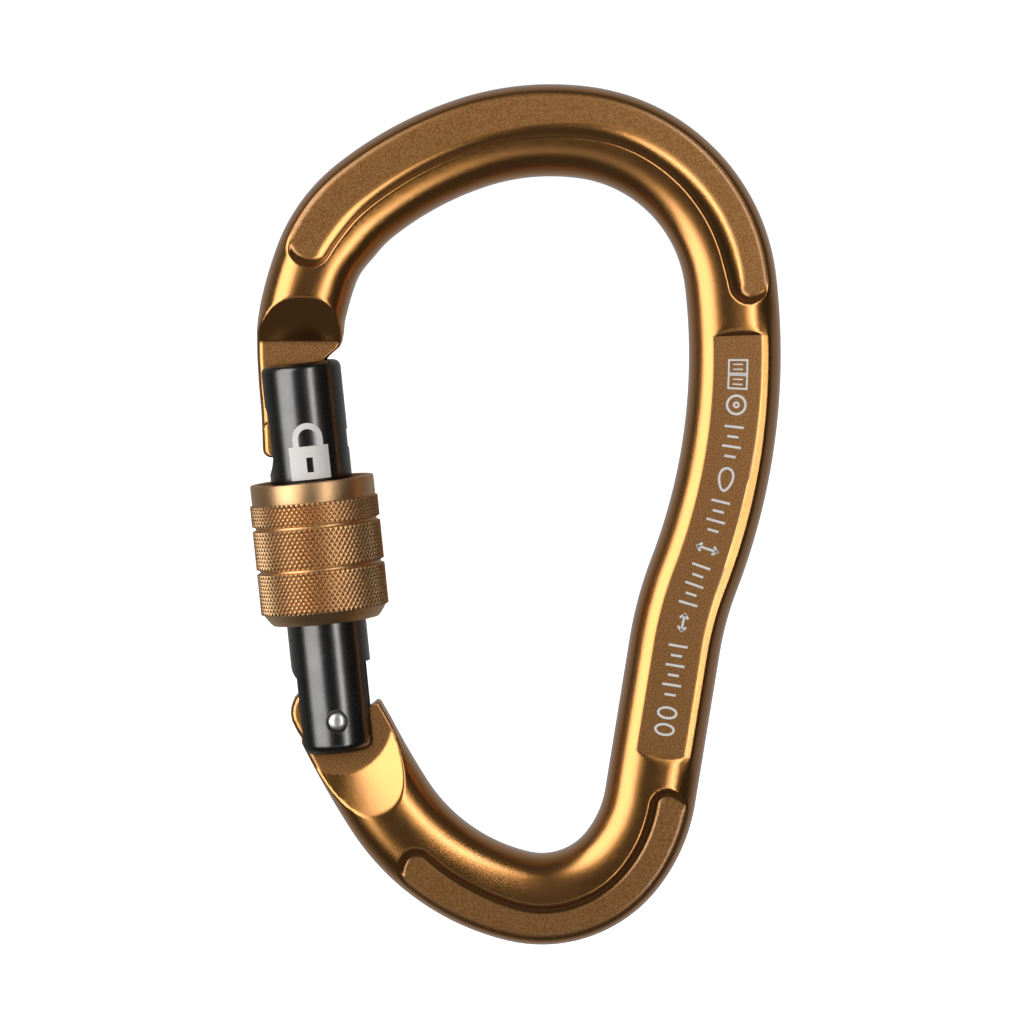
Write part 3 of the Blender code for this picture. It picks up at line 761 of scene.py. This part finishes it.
def gate_mark():
    """A plain padlock sign on the gate's front."""
    def row(low, high):
        return [(low + (high - low) * i / 12, 0) for i in range(13)]

    def shift(path, v):
        return [(a, b + v) for a, b in path]

    bands = [(shift(row(-2.9, 2.9), 0.1), 1.6, False), (shift(row(-2.9, 2.9), -3.3), 1.0, False)]
    bands += [(shift(row(low, high), -1.75), 2.1, False) for low, high in ((-2.9, -0.45), (0.45, 2.9))]
    shackle = [(1.75, 0.9)] + round_path((0, 2.0), 1.75, 0, 181, 12) + [(-1.75, 0.9)]
    bands.append((shackle, 0.85, False))
    middle, height = MARK_ON_GATE

    def on_cylinder(u, v, lift):
        angle = (u + middle) / GATE_UPPER_RADIUS
        radius = GATE_UPPER_RADIUS + lift
        return radius * math.sin(angle), -radius * math.cos(angle), v + height

    sign = mark_object("gate_mark", bands, on_cylinder)
    sign.matrix_world = gate_matrix()
    return sign


body = build_body()
cut(body, [(lathe([(0, -6), (1.5, -6), (1.5, 6), (0, 6)], 48, "lug_hole"), rivet_matrix())])
gate = build_gate()
sleeve = build_sleeve()
rivet = build_rivet()
signs = frame_marks()
padlock = gate_mark()


# ---------------------------------------------------------------- materials


def nodes_of(name):
    """A new material with its node tree and Principled shader."""
    material = bpy.data.materials.new(name)
    material.use_nodes = True
    tree = material.node_tree
    return material, tree, tree.nodes["Principled BSDF"]


def noise(tree, scale, detail=4.0, rough=0.6):
    """Noise over the object's own space, scale in features per metre."""
    coords = tree.nodes.new("ShaderNodeTexCoord")
    texture = tree.nodes.new("ShaderNodeTexNoise")
    texture.inputs["Scale"].default_value = scale
    texture.inputs["Detail"].default_value = detail
    texture.inputs["Roughness"].default_value = rough
    tree.links.new(coords.outputs["Object"], texture.inputs["Vector"])
    return texture.outputs["Fac"]


def ramp(tree, source, low, high, start=0.3, end=0.7):
    """Maps a value's range to another."""
    node = tree.nodes.new("ShaderNodeMapRange")
    node.inputs["From Min"].default_value = start
    node.inputs["From Max"].default_value = end
    node.inputs["To Min"].default_value = low
    node.inputs["To Max"].default_value = high
    tree.links.new(source, node.inputs["Value"])
    return node.outputs["Result"]


def mix_color(tree, factor, a, b):
    """Mixes two colours by a value."""
    node = tree.nodes.new("ShaderNodeMix")
    node.data_type = "RGBA"
    tree.links.new(factor, node.inputs[0])
    for socket, value in ((node.inputs[6], a), (node.inputs[7], b)):
        if isinstance(value, tuple):
            socket.default_value = (*value, 1.0)
        else:
            tree.links.new(value, socket)
    return node.outputs[2]


def mix_value(tree, factor, a, b):
    """Mixes two values by a third."""
    node = tree.nodes.new("ShaderNodeMix")
    tree.links.new(factor, node.inputs[0])
    for socket, value in ((node.inputs[2], a), (node.inputs[3], b)):
        if isinstance(value, float):
            socket.default_value = value
        else:
            tree.links.new(value, socket)
    return node.outputs[0]


def bump(tree, shader, source, strength, distance):
    """Adds a bump of a height in metres to the shader."""
    node = tree.nodes.new("ShaderNodeBump")
    node.inputs["Strength"].default_value = strength
    node.inputs["Distance"].default_value = distance
    tree.links.new(source, node.inputs["Height"])
    tree.links.new(node.outputs["Normal"], shader.inputs["Normal"])


def anodised(name, dark, light, rough_low, rough_high, grain, depth, coat, machined=True):
    """Anodised aluminium: a tinted satin metal with fine blasted grain."""
    material, tree, shader = nodes_of(name)
    shader.inputs["Metallic"].default_value = 1.0
    fine = noise(tree, grain, 3.0, 0.7)
    wide = noise(tree, 160.0, 3.0, 0.5)
    color = mix_color(tree, ramp(tree, fine, 0, 1, 0.35, 0.65), dark, light)
    rough = ramp(tree, wide, rough_low, rough_high)
    if machined:
        layer = tree.nodes.new("ShaderNodeAttribute")
        layer.attribute_name = "machined"
        mask = layer.outputs["Fac"]
        rough = mix_value(tree, mask, rough, ramp(tree, fine, 0.42, 0.54))
        speck = noise(tree, grain * 0.4, 2.0, 0.6)
        specks = ramp(tree, speck, 0, 1, 0.38, 0.62)
        matt = mix_color(tree, specks, (0.29, 0.12, 0.03), (0.49, 0.25, 0.09))
        color = mix_color(tree, mask, color, matt)
    tree.links.new(color, shader.inputs["Base Color"])
    tree.links.new(rough, shader.inputs["Roughness"])
    shader.inputs["Coat Weight"].default_value = coat
    shader.inputs["Coat Roughness"].default_value = rough_low
    bump(tree, shader, fine, depth, 0.00003)
    return material


def steel(name, color, rough_low, rough_high, scale, depth):
    """Bright steel with light marks."""
    material, tree, shader = nodes_of(name)
    shader.inputs["Metallic"].default_value = 1.0
    marks = noise(tree, scale, 3.0, 0.6)
    dull = tuple(c * 0.8 for c in color)
    tree.links.new(mix_color(tree, ramp(tree, marks, 0, 1), dull, color), shader.inputs["Base Color"])
    tree.links.new(ramp(tree, marks, rough_low, rough_high), shader.inputs["Roughness"])
    bump(tree, shader, marks, depth, 0.00006)
    return material


def black_finish():
    """Black anodising: a dark semi-gloss metal with a fine turned grain."""
    material, tree, shader = nodes_of("black_anodising")
    shader.inputs["Metallic"].default_value = 1.0
    fine = noise(tree, 9000.0, 3.0, 0.7)
    wide = noise(tree, 220.0, 3.0, 0.5)
    color = mix_color(tree, ramp(tree, wide, 0, 1), (0.115, 0.112, 0.108), (0.14, 0.136, 0.133))
    tree.links.new(color, shader.inputs["Base Color"])
    tree.links.new(ramp(tree, fine, 0.22, 0.28), shader.inputs["Roughness"])
    bump(tree, shader, fine, 0.12, 0.00002)
    return material


def white_mark():
    """Laser marking: matt and off-white."""
    material, _, shader = nodes_of("laser_marking")
    shader.inputs["Base Color"].default_value = (0.86, 0.83, 0.79, 1.0)
    shader.inputs["Roughness"].default_value = 0.6
    return material


BRONZE = anodised(
    "bronze_anodising", (0.57, 0.25, 0.055), (0.65, 0.29, 0.07), 0.22, 0.26, 12000.0, 0.3, 1.0,
)
SLEEVE = anodised(
    "sleeve_anodising", (0.60, 0.355, 0.165), (0.71, 0.435, 0.215), 0.34, 0.42, 9000.0, 0.3, 0.4, False,
)
BLACK = black_finish()
RIVET = steel("rivet_steel_bright", (0.88, 0.86, 0.83), 0.34, 0.46, 900.0, 0.8)
MARK = white_mark()
SPRING = steel("spring_wire_steel", (0.6, 0.6, 0.62), 0.22, 0.34, 5000.0, 0.2)
PLUNGER = steel("plunger_turned_steel", (0.66, 0.66, 0.66), 0.25, 0.4, 3000.0, 0.2)


def dress(obj, material):
    """Gives an object one material."""
    obj.data.materials.clear()
    obj.data.materials.append(material)


for piece, material, body_name, node, slot in (
    (body, BRONZE, "frame", "body", "bronze_anodised"),
    (gate, BLACK, "gate", "gate", "black_anodised"),
    (sleeve, SLEEVE, "sleeve", "locking_sleeve", "bronze_anodised"),
    (rivet, RIVET, "gate", "hinge_rivet", "rivet_steel"),
    (signs, MARK, "frame", None, "bronze_anodised"),
    (padlock, MARK, "gate", None, "black_anodised"),
):
    dress(piece, material)
    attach(piece, body_name)
    if node:
        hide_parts(node)
for node, material in (("gate_spring", SPRING), ("spring_plunger", PLUNGER)):
    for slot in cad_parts[node].material_slots:
        slot.material = material


# ---------------------------------------------------------------- floor, light and camera


ROOM_FRONT = 0.035
ROOM_TOP = 0.07
ROOM_BACK = 0.32


def floor():
    """A wide pale floor a little below the carabiner."""
    mesh = bpy.data.meshes.new("floor")
    size = 6.0
    level = CAD_BOX[0].z - 0.012
    mesh.from_pydata(
        [(-size, -size, level), (size, -size, level), (size, size, level), (-size, size, level)],
        [], [(0, 1, 2, 3)],
    )
    obj = bpy.data.objects.new("floor", mesh)
    bpy.context.scene.collection.objects.link(obj)
    material, tree, shader = nodes_of("pale_floor")
    shader.inputs["Base Color"].default_value = (0.9, 0.9, 0.9, 1.0)
    shader.inputs["Roughness"].default_value = 0.9
    shader.inputs["Emission Color"].default_value = (1.0, 1.0, 1.0, 1.0)
    shader.inputs["Emission Strength"].default_value = 1.1
    mesh.materials.append(material)
    obj.visible_glossy = False
    obj.visible_diffuse = False


def softbox(name, azimuth, elevation, width, height, radiance, distance=0.6):
    """A rectangular light facing the carabiner; azimuth 0 is the camera's side."""
    data = bpy.data.lights.new(name, "AREA")
    data.shape = "RECTANGLE"
    data.size = width
    data.size_y = height
    data.energy = radiance * math.pi * width * height
    obj = bpy.data.objects.new(name, data)
    bpy.context.scene.collection.objects.link(obj)
    a, e = math.radians(azimuth), math.radians(elevation)
    away = Vector((math.sin(a) * math.cos(e), -math.cos(a) * math.cos(e), math.sin(e)))
    middle = Vector((-0.005, 0.0, -0.0475))
    obj.location = middle + away * distance
    obj.rotation_euler = away.to_track_quat("Z", "Y").to_euler()
    obj.visible_camera = False


def surroundings():
    """A white background for the camera, and a room for the metal: dark in front, grey behind."""
    world = bpy.data.worlds.new("studio")
    bpy.context.scene.world = world
    world.use_nodes = True
    tree = world.node_tree
    room = tree.nodes["Background"]
    white = tree.nodes.new("ShaderNodeBackground")
    white.inputs["Color"].default_value = (1.0, 1.0, 1.0, 1.0)
    white.inputs["Strength"].default_value = 1.05
    direction = tree.nodes.new("ShaderNodeTexCoord")
    axes = tree.nodes.new("ShaderNodeSeparateXYZ")
    tree.links.new(direction.outputs["Generated"], axes.inputs[0])
    room.inputs["Color"].default_value = (1.0, 1.0, 1.0, 1.0)
    height = tree.nodes.new("ShaderNodeMath")
    height.operation = "MULTIPLY"
    tree.links.new(axes.outputs["Z"], height.inputs[0])
    tree.links.new(axes.outputs["Z"], height.inputs[1])
    front = ramp(tree, height.outputs[0], ROOM_FRONT, ROOM_TOP, 0.0, 1.0)
    back = ramp(tree, axes.outputs["Y"], 0.0, 1.0, -0.1, 0.7)
    tree.links.new(mix_value(tree, back, front, ROOM_BACK), room.inputs["Strength"])
    path = tree.nodes.new("ShaderNodeLightPath")
    mix = tree.nodes.new("ShaderNodeMixShader")
    tree.links.new(path.outputs["Is Camera Ray"], mix.inputs[0])
    tree.links.new(room.outputs[0], mix.inputs[1])
    tree.links.new(white.outputs[0], mix.inputs[2])
    tree.links.new(mix.outputs[0], tree.nodes["World Output"].inputs["Surface"])


def camera():
    """A long lens on the front, slightly above the carabiner's middle."""
    data = bpy.data.cameras.new("camera")
    obj = bpy.data.objects.new("camera", data)
    bpy.context.scene.collection.objects.link(obj)
    distance, elevation, field = 0.7, math.radians(3.6), 0.1454
    data.sensor_width = 36.0
    data.lens = 36.0 * distance / field
    data.clip_start = 0.05
    middle = Vector((-0.00541, 0.0, -0.04754))
    away = Vector((0.0, -math.cos(elevation), math.sin(elevation)))
    obj.location = middle + away * distance
    obj.rotation_euler = (math.pi / 2 - elevation, 0.0, 0.0)
    bpy.context.scene.camera = obj


floor()
softbox("softbox_left", -48, 8, 0.36, 0.62, 3.1, 0.45)
softbox("softbox_right", 25, 4, 0.09, 0.62, 5.2, 0.45)
softbox("table_glow", -15, -30, 0.5, 0.14, 0.35, 0.5)
surroundings()
camera()
bpy.context.scene.view_settings.view_transform = "Standard"
